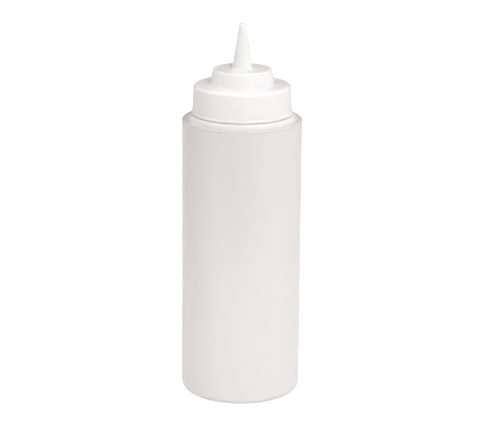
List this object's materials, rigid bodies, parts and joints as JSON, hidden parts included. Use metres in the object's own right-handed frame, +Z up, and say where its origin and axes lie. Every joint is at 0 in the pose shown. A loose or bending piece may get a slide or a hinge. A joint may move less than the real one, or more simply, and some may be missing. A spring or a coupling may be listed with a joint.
{
  "type": "squeeze sauce bottle with nozzle cap",
  "caption": "Soft wide-mouth squeeze bottle for sauces, with a stepped screw cap that carries an open cone-shaped pouring nozzle and a sealing ring inside.",
  "frame": {"origin": "centre of the circle that the bottle stands on, at table level", "axes": "+Z up along the bottle's axis towards the nozzle; the body is round, so +X and +Y are set only by the start of the thread and the pinch seam under the base, which lies along X"},
  "size_m": [0.085, 0.085, 0.2678],
  "materials": {
    "bottle_plastic": "satin, translucent natural polyethylene",
    "cap_plastic": "satin, white polyethylene",
    "seal_rubber": "soft silicone"
  },
  "bodies": {
    "bottle": {"bottle": "bottle_plastic"},
    "seal": {"sealing_ring": "seal_rubber"},
    "cap": {"nozzle_cap": "cap_plastic"}
  },
  "joints": [
    {"name": "cap_rise", "type": "slide", "parent": "bottle", "child": "seal", "axis": [0, 0, 1], "range_m": [0, 0.0196]},
    {"name": "cap_turn", "type": "hinge", "parent": "seal", "child": "cap", "pos_m": [0, 0, 0.204], "axis": [0, 0, 1], "range_deg": [0, 1170]}
  ],
  "couplings": [
    {"joint": "cap_rise", "follows": "cap_turn", "m_per_rad": 0.00095493}
  ]
}
